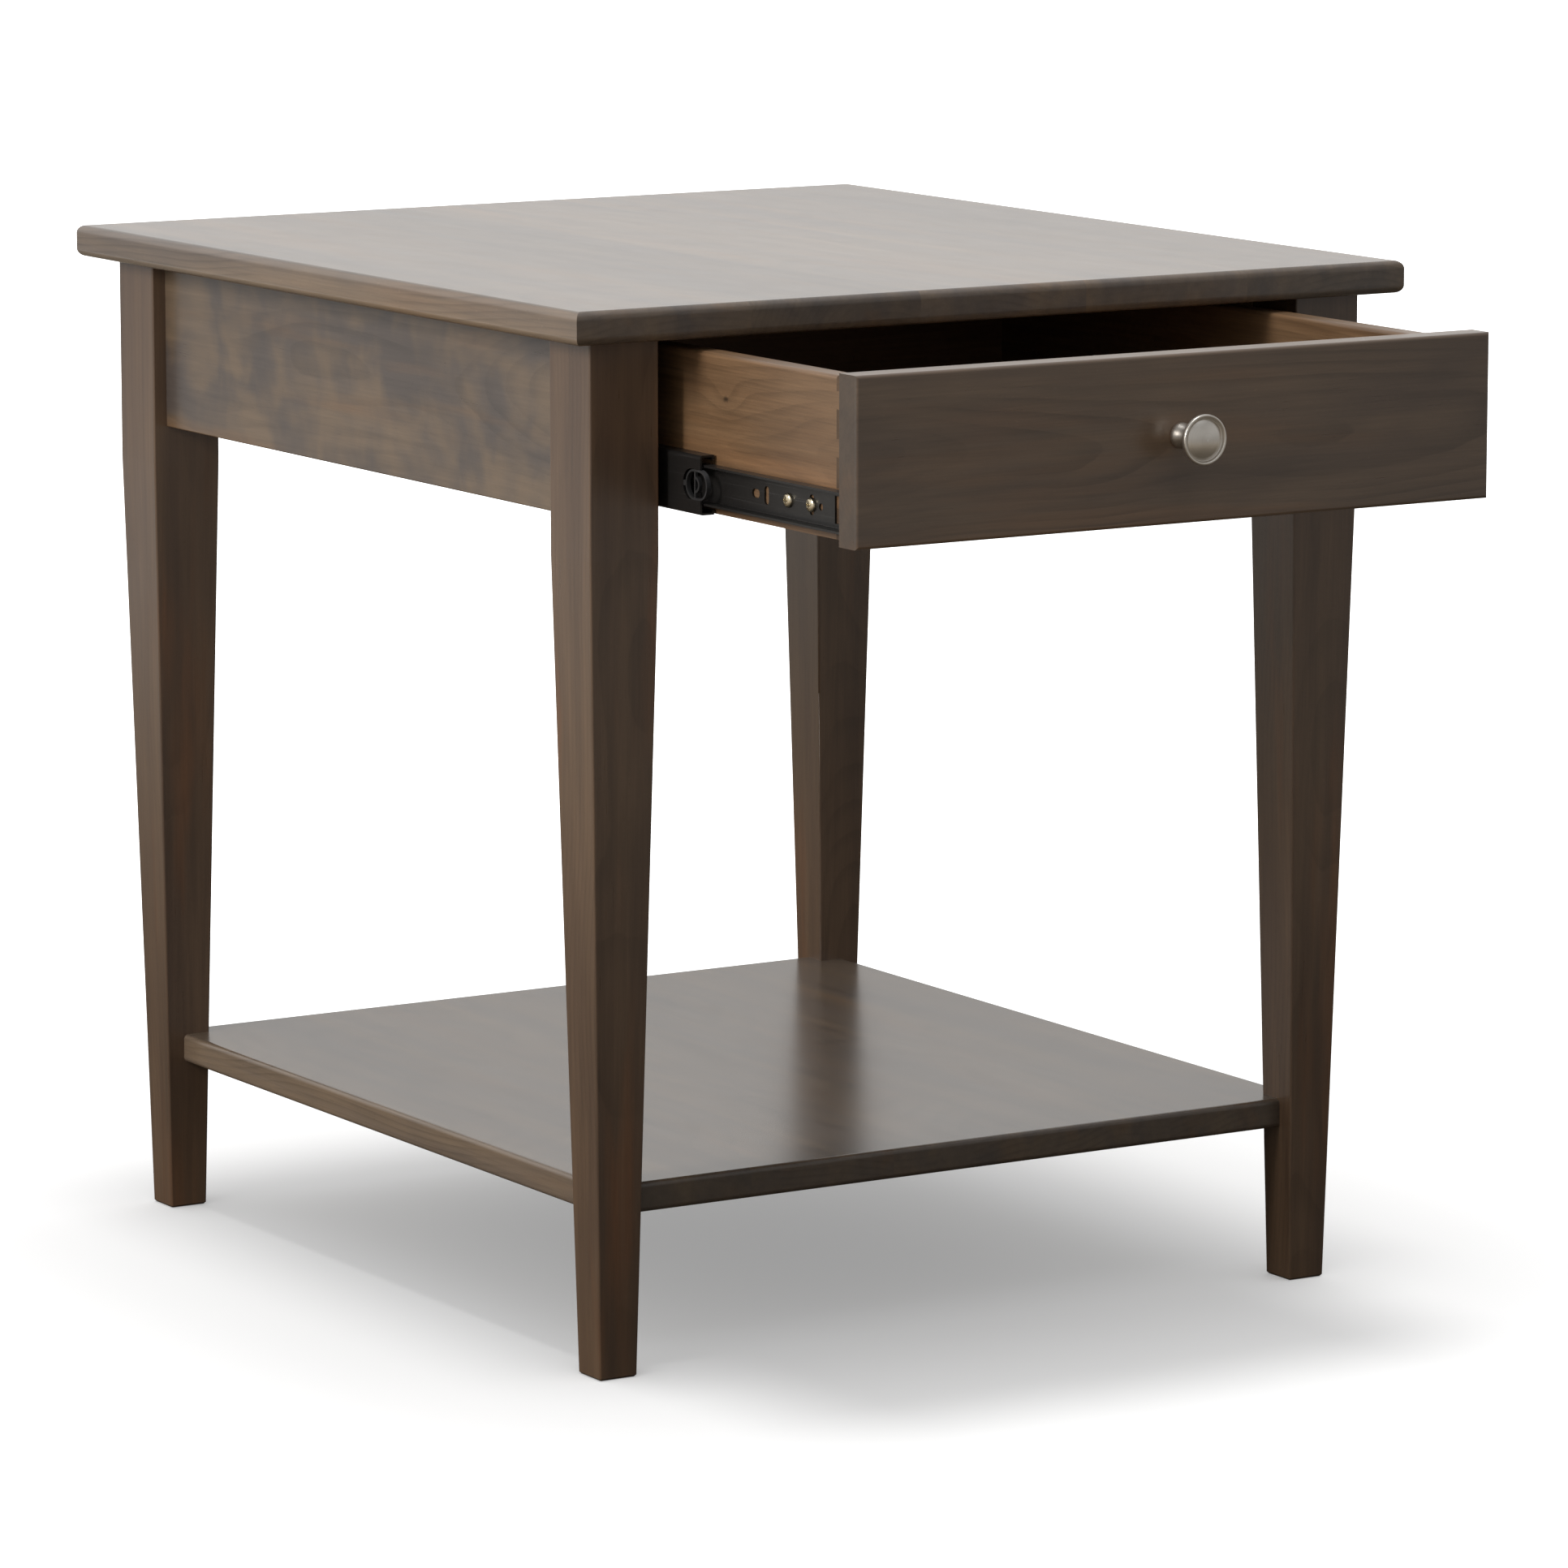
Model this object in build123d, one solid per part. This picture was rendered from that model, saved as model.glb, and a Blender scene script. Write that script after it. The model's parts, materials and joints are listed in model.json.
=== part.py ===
from build123d import *
import os
from math import asin, cos, sin, sqrt

# Side table with one drawer and a lower shelf.
# Frame: origin at floor level under the middle of the leg footprint,
# X to the right, Y to the back (the drawer opens towards -Y), Z up. Millimetres.

# ---------------------------------------------------------------- driving sizes
W, D, H = 558.8, 609.6, 609.6          # overall width, depth, height of the table body
TOP_T = 19.05                          # tabletop thickness
TOP_R = 4.76                           # roundover on both tabletop edges
OVERHANG = 19.05                       # tabletop overhang beyond the legs
LEG = 44.45                            # leg, square above the taper
FOOT = 24.3                            # leg, square at the floor
TAPER_Z = 468.0                        # height where the taper starts
LEG_EASE = 1.2                         # eased long edges of the legs
RAIL_T = 19.05                         # apron thickness
RAIL_BACK = 8.75                       # apron face set back from the leg face
RAIL_Z0 = 489.8                        # underside of the aprons
TENON_T, TENON_L, TENON_SH = 9.5, 20.0, 12.0

SHELF_TOP, SHELF_T, SHELF_R = 109.4, 17.46, 3.0
SHELF_X, SHELF_Y = 241.3, 266.7        # shelf edges from the centre

OPEN = 195.3                           # how far the drawer stands open in this pose
FR_W, FR_T, FR_Z0, FR_Z1 = 420.0, 17.4, 493.8, 587.6   # drawer front
BOX_X = 199.4                          # outer face of the drawer box sides
BOX_L = 457.2                          # length of the drawer box
BOX_Z0, BOX_Z1 = 495.1, 584.0          # drawer box height
SIDE_T, SUB_T, BACK_T = 14.3, 19.05, 14.3
BOX_R = 2.5                            # rounded top edges of the drawer box
BOT_T, BOT_Z0, GROOVE = 6.35, 500.9, 6.0
PINS = [(576.5, 584.0), (550.6, 564.6), (523.8, 538.6), (495.1, 511.0)]
TAIL_SLOPE = 1 / 8

SLIDE_Z = 511.4                        # slide centre line
SLIDE_T = 12.7                         # thickness of the slide set
SLIDE_L = 457.2                        # length of cabinet and drawer members
MID_L = 411.2                          # length of the middle member
MID_FRONT = -320.0                     # front end of the middle member in this pose
BALL_O, BALL_I = 4.76, 3.97            # ball diameters, outer and inner races
OUTER_CAGE_Y, OUTER_CAGE_L = -88.6, 160.0
INNER_CAGE_Y, INNER_CAGE_L = -165.2, 140.0

KNOB_Z = 542.6
KNOB_D = 28.2

# ---------------------------------------------------------------- derived
UNDER = H - TOP_T
LX, LY = W / 2 - OVERHANG, D / 2 - OVERHANG          # outer leg faces
CX, CY = LX - LEG / 2, LY - LEG / 2                  # leg axes
IX, IY = LX - LEG, LY - LEG                          # inner leg faces
RX1, RY1 = LX - RAIL_BACK, LY - RAIL_BACK            # apron outer faces
RX0, RY0 = RX1 - RAIL_T, RY1 - RAIL_T                # apron inner faces
FACE_Y = -LY - OPEN                                  # front face of the drawer
SUB_Y = FACE_Y + FR_T                                # back of the drawer front
BOX_Y1 = SUB_Y + BOX_L                               # back end of the drawer box
CAB_Y0 = -LY + FR_T + 8.0                            # front end of the cabinet members
CLEAT_X = BOX_X + SLIDE_T                            # face the slides are screwed to


# ---------------------------------------------------------------- helpers
def bx(x0, x1, y0, y1, z0, z1):
    return Pos((x0 + x1) / 2, (y0 + y1) / 2, (z0 + z1) / 2) * Box(x1 - x0, y1 - y0, z1 - z0)


def cyl(p, d, r, length, r2=None):
    pl = Plane(origin=p, z_dir=d)
    if r2 is None:
        s = Cylinder(r, length, align=(Align.CENTER, Align.CENTER, Align.MIN))
    else:
        s = Cone(r, r2, length, align=(Align.CENTER, Align.CENTER, Align.MIN))
    return pl * s


def along(p, d, t):
    n = sqrt(sum(c * c for c in d))
    return tuple(a + b / n * t for a, b in zip(p, d))


def edges_along(shape, axis, tol=1e-3):
    return shape.edges().filter_by(axis)


def flat_screw(p, d, length, r=2.0, head=3.9):
    """Countersunk wood screw. p is the middle of the head, d points into the wood."""
    hh = head - r
    body = cyl(p, d, head, hh, r) + cyl(along(p, d, hh), d, r, length - hh - 2.5) \
        + cyl(along(p, d, length - 2.5), d, r, 2.5, 0.4)
    pl = Plane(origin=p, z_dir=d)
    cross = pl * (Pos(0, 0, 0.8) * (Box(4.2, 0.9, 1.8) + Box(0.9, 4.2, 1.8)))
    return body - cross, body


def pan_screw(p, d, length, r=1.9, head=4.1, hh=2.4):
    """Pan-head screw. p is where the head seats, d points into the wood."""
    pl = Plane(origin=p, z_dir=d)
    prof = make_face(Polyline((0, 0), (head, 0), (head, -0.75), (head * 0.93, -1.35),
                              (head * 0.76, -1.95), (head * 0.48, -hh + 0.08), (0, -hh), (0, 0)))
    head_s = pl * revolve(Plane.XZ * prof, Axis.Z)
    cross = pl * (Pos(0, 0, -hh) * (Box(4.4, 0.95, 2.4) + Box(0.95, 4.4, 2.4)))
    pit = cyl(along(p, d, -hh - 0.05), d, 1.3, 1.9, 0.5)
    shank = cyl(p, d, r, length - 2.2) + cyl(along(p, d, length - 2.2), d, r, 2.2, 0.4)
    return head_s - cross - pit + shank, shank


def group(*solids):
    out = []
    for s in solids:
        out.extend(s.solids() if not isinstance(s, list) else s)
    return Compound(children=[Solid(x.wrapped) for x in out])


parts = {}

# ---------------------------------------------------------------- legs
def leg(sx, sy):
    low = loft([Plane.XY.offset(0) * RectangleRounded(FOOT - 2.2, FOOT - 2.2, 0.6),
                Plane.XY.offset(1.2) * RectangleRounded(FOOT + 0.05, FOOT + 0.05, LEG_EASE)], ruled=True)
    mid = loft([Plane.XY.offset(1.2) * RectangleRounded(FOOT + 0.05, FOOT + 0.05, LEG_EASE),
                Plane.XY.offset(TAPER_Z) * RectangleRounded(LEG, LEG, LEG_EASE)], ruled=True)
    top = extrude(Plane.XY.offset(TAPER_Z) * RectangleRounded(LEG, LEG, LEG_EASE), UNDER - TAPER_Z)
    return Pos(sx * CX, sy * CY, 0) * (low + mid + top)


legs = {(sx, sy): leg(sx, sy) for sx in (-1, 1) for sy in (-1, 1)}
legs_plain = dict(legs)

# ---------------------------------------------------------------- aprons, with tenons
tz0, tz1 = RAIL_Z0 + TENON_SH, UNDER - TENON_SH
tm = RAIL_T / 2 - TENON_T / 2


def apron_side(s):
    x0, x1 = sorted((s * RX0, s * RX1))
    a = bx(x0, x1, -IY, IY, RAIL_Z0, UNDER)
    low = [e for e in a.edges().filter_by(Axis.Y) if e.center().Z < RAIL_Z0 + 1]
    a = fillet(low, 1.0)
    t0, t1 = sorted((s * (RX0 + tm), s * (RX1 - tm)))
    ten = bx(t0, t1, -IY - TENON_L, -IY + 1, tz0, tz1) + bx(t0, t1, IY - 1, IY + TENON_L, tz0, tz1)
    return a + ten


ap_l, ap_r = apron_side(-1), apron_side(1)
ap_b = bx(-IX, IX, RY0, RY1, RAIL_Z0, UNDER)
ap_b = fillet([e for e in ap_b.edges().filter_by(Axis.X) if e.center().Z < RAIL_Z0 + 1], 1.0)
ap_b += bx(-IX - TENON_L, -IX + 1, RY0 + tm, RY1 - tm, tz0, tz1)
ap_b += bx(IX - 1, IX + TENON_L, RY0 + tm, RY1 - tm, tz0, tz1)

for (sx, sy) in legs:
    side = ap_l if sx < 0 else ap_r
    legs[(sx, sy)] = legs[(sx, sy)] - side
    if sy > 0:
        legs[(sx, sy)] = legs[(sx, sy)] - ap_b

# ---------------------------------------------------------------- tabletop
top = bx(-W / 2, W / 2, -D / 2, D / 2, UNDER, H)
top = fillet(top.faces().sort_by(Axis.Z)[-1].edges() + top.faces().sort_by(Axis.Z)[0].edges(), TOP_R)

# ---------------------------------------------------------------- shelf and its dowels
shelf = bx(-SHELF_X, SHELF_X, -SHELF_Y, SHELF_Y, SHELF_TOP - SHELF_T, SHELF_TOP)
shelf = fillet(shelf.faces().sort_by(Axis.Z)[-1].edges() + shelf.faces().sort_by(Axis.Z)[0].edges(), SHELF_R)
for g in legs_plain.values():
    shelf = shelf - g
zc = SHELF_TOP - SHELF_T / 2
half = FOOT / 2 + (LEG - FOOT) / 2 * zc / TAPER_Z
dowels = []
for (sx, sy) in legs:
    corner = (sx * (CX - half), sy * (CY - half), zc)
    d = (sx, sy, 0)
    dw = cyl(along(corner, d, -22), d, 4.0, 36.0)
    dw = chamfer(dw.edges().filter_by(GeomType.CIRCLE), 0.6)
    dowels.append(dw)
    shelf = shelf - cyl(along(corner, d, -22.5), d, 4.0, 29.0)
    legs[(sx, sy)] = legs[(sx, sy)] - cyl(along(corner, d, -4), d, 4.0, 19.0)

# ---------------------------------------------------------------- slide cleats on the side aprons
def cleat(s):
    x0, x1 = sorted((s * RX0, s * CLEAT_X))
    c = bx(x0, x1, -IY, IY, RAIL_Z0, 540.0)
    t0, t1 = sorted((s * IX, s * CLEAT_X))
    return c + bx(t0, t1, CAB_Y0 - 1.0, -IY + 1, RAIL_Z0, 540.0)


cl_l, cl_r = cleat(-1), cleat(1)
cleat_screws = []
for s in (-1, 1):
    for y in (-180.0, 0.0, 180.0):
        scr, cut = flat_screw((s * (CLEAT_X + 0.2), y, 537.0 - 1.5), (s, 0, 0), 31.0)
        cleat_screws.append(scr)
        if s < 0:
            cl_l, ap_l = cl_l - cut - cyl((s * CLEAT_X, y, 535.5), (s, 0, 0), 3.9, 0.2), ap_l - cut
        else:
            cl_r, ap_r = cl_r - cut - cyl((s * CLEAT_X, y, 535.5), (s, 0, 0), 3.9, 0.2), ap_r - cut

# ---------------------------------------------------------------- cleats that hold the top
tc = {}
top_cleat_screws = []
for s in (-1, 1):
    x0, x1 = sorted((s * RX0, s * IX))
    c = bx(x0, x1, -IY, IY, UNDER - 20.0, UNDER)
    for y in (-200.0, 0.0, 200.0):
        p = ((x0 + x1) / 2, y, UNDER - 20.0)
        scr, cut = flat_screw(p, (0, 0, 1), 31.75)
        top_cleat_screws.append(scr)
        c = c - cut
        top = top - cut
    tc[s] = c

# ---------------------------------------------------------------- corner blocks behind the drawer
blocks, block_screws = [], []
for s in (-1, 1):
    pts = [(s * 170.0, RY0), (s * IX, RY0), (s * IX, IY), (s * RX0, IY), (s * RX0, 195.4)]
    b = extrude(Plane.XY.offset(543.0) * make_face(Polyline(*pts, close=True)), 22.0)
    ys, xs = 209.0, s * 184.0
    seat_x = s * (RX0 - 8.0)
    scr, cut = flat_screw((seat_x, ys, 554.0), (s, 0, 0), 20.0)
    b = b - cut - cyl(along((seat_x, ys, 554.0), (s, 0, 0), -40.0), (s, 0, 0), 4.2, 40.0)
    if s < 0:
        ap_l = ap_l - cut
    else:
        ap_r = ap_r - cut
    block_screws.append(scr)
    seat_y = RY0 - 8.0
    scr, cut = flat_screw((xs, seat_y, 554.0), (0, 1, 0), 20.0)
    b = b - cut - cyl((xs, seat_y - 40.0, 554.0), (0, 1, 0), 4.2, 40.0)
    ap_b = ap_b - cut
    block_screws.append(scr)
    blocks.append(b)

# ---------------------------------------------------------------- figure-eight fasteners on the back apron
fig8, fig8_screws = [], []
for x in (-110.0, 110.0):
    ym = (RY0 + RY1) / 2
    plate = cyl((x, ym - 1.0, UNDER - 2.4), (0, 0, 1), 8.5, 2.4) + cyl((x, ym - 17.0, UNDER - 2.4), (0, 0, 1), 8.0, 2.4) \
        + bx(x - 4.2, x + 4.2, ym - 17.0, ym - 1.0, UNDER - 2.4, UNDER)
    recess = cyl((x, ym - 1.0, UNDER - 2.4), (0, 0, 1), 8.5, 2.4) + bx(x - 9.5, x + 9.5, ym - 17.0, ym - 6.0, UNDER - 2.4, UNDER)
    ap_b = ap_b - recess
    s1, c1 = flat_screw((x, ym - 1.0, UNDER), (0, 0, -1), 25.0, 1.9, 3.7)
    s2, c2 = flat_screw((x, ym - 17.0, UNDER - 2.4), (0, 0, 1), 16.0, 1.9, 3.7)
    plate = plate - c1 - c2
    ap_b = ap_b - c1
    top = top - c2
    fig8.append(plate)
    fig8_screws += [s1, s2]

# ---------------------------------------------------------------- drawer box
def tails(y_base, y_end, x0, x1):
    """Dovetail tails of one side end: they widen from the base line to the end."""
    out = None
    n = abs(y_end - y_base) * TAIL_SLOPE
    bands = sorted(PINS, reverse=True)
    for hi, lo in zip(bands[:-1], bands[1:]):
        z1, z0 = hi[0], lo[1]
        prof = make_face(Polyline((y_base, z0 + n / 2), (y_base, z1 - n / 2), (y_end, z1 + n / 2), (y_end, z0 - n / 2),
                                  close=True))
        t = extrude(Plane.YZ.offset(x0) * prof, x1 - x0)
        out = t if out is None else out + t
    return out


def board(x0, x1, y0, y1, axis, r=BOX_R, z0=BOX_Z0, z1=BOX_Z1):
    b = bx(x0, x1, y0, y1, z0, z1)
    return fillet([e for e in b.edges().filter_by(axis) if e.center().Z > z1 - 0.01], r)


y_f, y_b = SUB_Y + SUB_T, BOX_Y1 - BACK_T
sides = {}
for s in (-1, 1):
    x0, x1 = sorted((s * BOX_X, s * (BOX_X - SIDE_T)))
    full = board(x0, x1, SUB_Y, BOX_Y1, Axis.Y)
    body = full & bx(x0 - 1, x1 + 1, y_f, y_b, BOX_Z0 - 1, BOX_Z1 + 1)
    sides[s] = body + (full & tails(y_f, SUB_Y, x0 - 1, x1 + 1)) + (full & tails(y_b, BOX_Y1, x0 - 1, x1 + 1))
sub = board(-BOX_X, BOX_X, SUB_Y, y_f, Axis.X)
back = board(-BOX_X, BOX_X, y_b, BOX_Y1, Axis.X)
for s in (-1, 1):
    sub = sub - sides[s]
    back = back - sides[s]
gx, gy0, gy1 = BOX_X - SIDE_T + GROOVE, y_f - GROOVE, y_b + GROOVE
bottom = bx(-gx + 0.3, gx - 0.3, gy0 + 0.3, gy1 - 0.3, BOT_Z0, BOT_Z0 + BOT_T)
groove = bx(-gx, gx, gy0, gy1, BOT_Z0, BOT_Z0 + BOT_T)
for s in (-1, 1):
    sides[s] = sides[s] - groove
sub, back = sub - groove, back - groove

front = bx(-FR_W / 2, FR_W / 2, FACE_Y, SUB_Y, FR_Z0, FR_Z1)
front = fillet(front.faces().sort_by(Axis.Y)[0].edges(), 1.9)
front = fillet(front.faces().sort_by(Axis.Y)[-1].edges(), 0.6)
front_screws = []
for x in (-140.0, 140.0):
    for z in (522.0, 566.0):
        scr, cut = pan_screw((x, y_f, z), (0, -1, 0), 31.0, 2.0, 4.4, 2.6)
        front_screws.append(scr)
        sub, front = sub - cut, front - cut

# ---------------------------------------------------------------- knob and its screw
kr = KNOB_D / 2
dome_r, dome_d0, dome_d1 = kr - 2.95, 23.0, 26.6
dome_R = (dome_r ** 2 + (dome_d1 - dome_d0) ** 2) / (2 * (dome_d1 - dome_d0))
dome_a = asin(dome_r / dome_R)
klines = [
    Line((0, 0), (6.7, 0)), Line((6.7, 0), (7.3, 0.6)), Line((7.3, 0.6), (7.3, 1.2)),
    Spline((7.3, 1.2), (6.8, 3.6), (5.7, 6.6), (5.1, 9.8), (5.7, 13.2), (8.7, 16.8), (12.2, 19.9), tangents=((0, 1), (1, 0.8))),
    Line((12.2, 19.9), (13.3, 20.8)),
    ThreePointArc((13.3, 20.8), (kr - 0.1, 22.0), (kr - 0.15, 23.3)),
    ThreePointArc((kr - 0.15, 23.3), (kr - 0.85, 24.35), (kr - 1.7, 23.9)),
    Line((kr - 1.7, 23.9), (kr - 2.15, 22.75)), Line((kr - 2.15, 22.75), (kr - 2.6, 22.55)),
    Line((kr - 2.6, 22.55), (dome_r, dome_d0)),
    ThreePointArc((dome_r, dome_d0), (dome_R * sin(dome_a / 2), dome_d1 - dome_R * (1 - cos(dome_a / 2))), (0, dome_d1)),
    Line((0, dome_d1), (0, 0)),
]
kface = make_face(klines)
knob_pl = Plane(origin=(0, FACE_Y, KNOB_Z), z_dir=(0, -1, 0))
knob = knob_pl * revolve(Plane.XZ * kface, Axis.Z)
knob = knob - cyl((0, FACE_Y, KNOB_Z), (0, -1, 0), 2.0, 9.5)
kl = SUB_T + FR_T + 8.0
knob_screw, kcut = pan_screw((0, y_f, KNOB_Z), (0, -1, 0), kl, 2.0, 4.6, 2.4)
bore = cyl((0, y_f + 1, KNOB_Z), (0, -1, 0), 2.0, SUB_T + FR_T + 2)
sub, front = sub - bore, front - bore

# ---------------------------------------------------------------- drawer slides, left hand, then mirrored
# u runs from the cleat face (0) to the drawer side (SLIDE_T); local v is up from the slide centre line.
def uv(prof, y0, length):
    """Extrude a (u, v) profile from y0 towards the back."""
    pl = Plane(origin=(-CLEAT_X, y0, SLIDE_Z), x_dir=(1, 0, 0), z_dir=(0, -1, 0))
    return extrude(pl * prof, -length)


def rect(u0, u1, v0, v1):
    return Pos((u0 + u1) / 2, (v0 + v1) / 2) * Rectangle(u1 - u0, v1 - v0)


def channel(u0, u1, hh, t, open_right=True, r=1.6):
    ri = max(r - t, 0.3)
    if open_right:
        o = Pos(u0 + 15, 0) * RectangleRounded(30, 2 * hh, r)
        i = Pos(u0 + t + 15, 0) * RectangleRounded(30, 2 * (hh - t), ri)
        return (o - i) & rect(u0 - 1, u1, -hh - 1, hh + 1)
    o = Pos(u1 - 15, 0) * RectangleRounded(30, 2 * hh, r)
    i = Pos(u1 - t - 15, 0) * RectangleRounded(30, 2 * (hh - t), ri)
    return (o - i) & rect(u0, u1 + 1, -hh - 1, hh + 1)


T = 1.2
HO, HM, HI = 22.85, 16.65, 11.3
cab = channel(0, 10.2, HO, T) + rect(9.0, 10.2, 19.9, HO - T + 0.1) + rect(9.0, 10.2, -HO + T - 0.1, -19.9)
cab = uv(cab, CAB_Y0, SLIDE_L)
midp = channel(2.2, 11.2, HM, T) + rect(10.0, 11.2, 13.95, HM - T + 0.1) + rect(10.0, 11.2, -HM + T - 0.1, -13.95)
mid = uv(midp, MID_FRONT, MID_L)
drw_y0 = SUB_Y
drw = uv(channel(4.4, SLIDE_T, HI, T, open_right=False), drw_y0, SLIDE_L)

XW = -CLEAT_X


def yslot(y, z, ly, lz, u0, u1):
    """Slot with round ends through a web, ly along the slide and lz upright."""
    r = min(ly, lz) / 2
    x0, x1 = XW + u0, XW + u1
    if ly > lz:
        s = bx(x0, x1, y - ly / 2 + r, y + ly / 2 - r, z - r, z + r)
        ends = [(y - ly / 2 + r, z), (y + ly / 2 - r, z)]
    else:
        s = bx(x0, x1, y - r, y + r, z - lz / 2 + r, z + lz / 2 - r)
        ends = [(y, z - lz / 2 + r), (y, z + lz / 2 - r)]
    for (a, b) in ends:
        s = s + cyl((x0, a, b), (1, 0, 0), r, x1 - x0)
    return s


# cabinet member: three fixing screws, two spare slots, open rear tab
cab_screws, cab_cut = [], []
for y in (-249.0, -120.0, 40.0, 160.0):
    scr, cut = flat_screw((XW + 1.15, y, SLIDE_Z), (-1, 0, 0), 15.0, 1.9, 3.6)
    cab_screws.append(scr)
    cab = cab - cut
    cab_cut.append(cut)
for y in (-225.0, 70.0):
    cab = cab - yslot(y, SLIDE_Z, 12.0, 5.0, -1, 3)
cl_cut = cab_cut

# middle member: open notch at its front end, relief windows
mid = mid - bx(XW + 1, XW + 4, MID_FRONT - 1, MID_FRONT + 10.0, SLIDE_Z - 8.6, SLIDE_Z + 8.6) \
    - cyl((XW + 1, MID_FRONT + 10.0, SLIDE_Z), (1, 0, 0), 8.6, 3)
for k in range(4):
    mid = mid - yslot(MID_FRONT + 75 + 85 * k, SLIDE_Z, 22.0, 8.0, 1.5, 4)

# drawer member: screw holes, adjustment slots, front window, stop dimple
y_oval, y_slot, y_s1, y_s2, y_small = -363.5, -374.7, -397.8, -421.4, -430.7
drw = drw - yslot(y_oval, SLIDE_Z, 7.8, 5.0, 10, 14) - yslot(y_slot, SLIDE_Z, 4.6, 10.4, 10, 14)
drw = drw - yslot(y_s2, SLIDE_Z, 4.4, 11.4, 10, 14)
drw = drw - cyl((XW + 10, y_small, SLIDE_Z - 0.2), (1, 0, 0), 2.0, 4)
drw = drw - bx(XW + 10, XW + 14, -452.6, -444.9, SLIDE_Z - 7.6, SLIDE_Z + 7.6)
for y in (-300.0, -150.0, -70.0):
    drw = drw - yslot(y, SLIDE_Z, 9.0, 5.0, 10, 14)
drw_screws, drw_cuts = [], []
for y in (y_s1, y_s2, -230.0, -40.0):
    scr, cut = pan_screw((XW + SLIDE_T - T, y, SLIDE_Z), (1, 0, 0), 12.0)
    drw_screws.append(scr)
    drw_cuts.append(cut)
    drw = drw - cut

# ball cages: thin sheet channels, the balls sit in their lips
def cage(y_mid, length, u_web, hz, u_end, ball_u, ball_d, n):
    t = 0.4
    y0 = y_mid - length / 2
    c = uv(rect(u_web, u_web + t, -hz - t / 2, hz + t / 2) + rect(u_web, u_end, hz - t / 2, hz + t / 2)
           + rect(u_web, u_end, -hz - t / 2, -hz + t / 2), y0, length)
    c = c - yslot(y_mid, SLIDE_Z, length - 24.0, 2 * hz - 12.0, u_web - 1, u_web + 1)
    balls = []
    for sgn in (-1, 1):
        for k in range(n):
            y = y0 + 8.0 + (length - 16.0) * k / (n - 1)
            z = SLIDE_Z + sgn * hz
            c = c - cyl((XW + ball_u, y, z - 2), (0, 0, 1), ball_d / 2 + 0.12, 4)
            balls.append(Pos(XW + ball_u, y, z) * Sphere(ball_d / 2))
    return c, balls


oc, ob = cage(OUTER_CAGE_Y, OUTER_CAGE_L, 1.5, (HO - T + HM) / 2, 8.8, 6.2, BALL_O, 9)
ic, ib = cage(INNER_CAGE_Y, INNER_CAGE_L, 3.7, (HM - T + HI) / 2, 9.75, 7.6, BALL_I, 9)

# end guide: moulded loop with a D-shaped release tongue in the notch of the middle member
gy, gz = MID_FRONT + 5.2, SLIDE_Z
xg0, xg1 = XW + 1.95, XW + 4.6
loop = yslot(gy - 1.2, gz, 23.0, 17.0, 1.95, 4.6) - yslot(gy - 1.2, gz, 20.6, 14.6, 1.0, 5.4)
bar = bx(XW + 2.4, XW + 4.0, gy + 0.3, gy + 1.7, gz - 7.8, gz + 7.8) \
    + bx(XW + 2.4, XW + 3.3, gy + 9.6, MID_FRONT + 18.5, gz - 1.5, gz + 1.5)
tongue = (cyl((XW + 2.2, gy + 0.5, gz), (1, 0, 0), 4.6, 2.2) & bx(XW + 1, XW + 6, gy - 5.0, gy + 0.9, gz - 5, gz + 5)) \
    - (cyl((XW + 2, gy + 0.5, gz), (1, 0, 0), 3.2, 3) & bx(XW + 1, XW + 6, gy - 5.0, gy + 0.2, gz - 5, gz + 5))
guide = loop + bar + tongue

# release lever on the drawer member: a flat tongue on a short post
lever = bx(XW + 8.2, XW + 10.0, -210.0, -162.0, SLIDE_Z - 3.0, SLIDE_Z + 3.0) \
    + bx(XW + 8.2, XW + 10.0, -173.0, -162.0, SLIDE_Z - 6.5, SLIDE_Z + 6.5) \
    + cyl((XW + 8.2, -210.0, SLIDE_Z), (1, 0, 0), 4.2, 3.3)
lever = fillet(lever.edges().filter_by(Axis.X), 0.8)

# rubber stop at the rear end of the cabinet member
stop = bx(XW, XW + 9.6, CAB_Y0 + SLIDE_L, CAB_Y0 + SLIDE_L + 4.4, SLIDE_Z - 15, SLIDE_Z + 15)
stop = fillet(stop.edges().filter_by(Axis.X), 2.0)


def mir(s):
    return mirror(s, about=Plane.YZ)


for cut in cl_cut:
    cl_l, cl_r = cl_l - cut, cl_r - mir(cut)
    legs[(-1, -1)] = legs[(-1, -1)] - cut
    legs[(1, -1)] = legs[(1, -1)] - mir(cut)
for cut in drw_cuts:
    sides[-1], sides[1] = sides[-1] - cut, sides[1] - mir(cut)

# ---------------------------------------------------------------- node table
parts["tabletop"] = top
parts["leg_front_left"] = legs[(-1, -1)]
parts["leg_front_right"] = legs[(1, -1)]
parts["leg_back_left"] = legs[(-1, 1)]
parts["leg_back_right"] = legs[(1, 1)]
parts["apron_left"] = ap_l
parts["apron_right"] = ap_r
parts["apron_back"] = ap_b
parts["shelf"] = shelf
parts["shelf_dowels"] = group(*dowels)
parts["slide_cleat_left"] = cl_l
parts["slide_cleat_right"] = cl_r
parts["slide_cleat_screws"] = group(*cleat_screws)
parts["top_cleat_left"] = tc[-1]
parts["top_cleat_right"] = tc[1]
parts["top_cleat_screws"] = group(*top_cleat_screws)
parts["corner_blocks"] = group(*blocks)
parts["corner_block_screws"] = group(*block_screws)
parts["top_fasteners"] = group(*fig8)
parts["top_fastener_screws"] = group(*fig8_screws)

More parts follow.
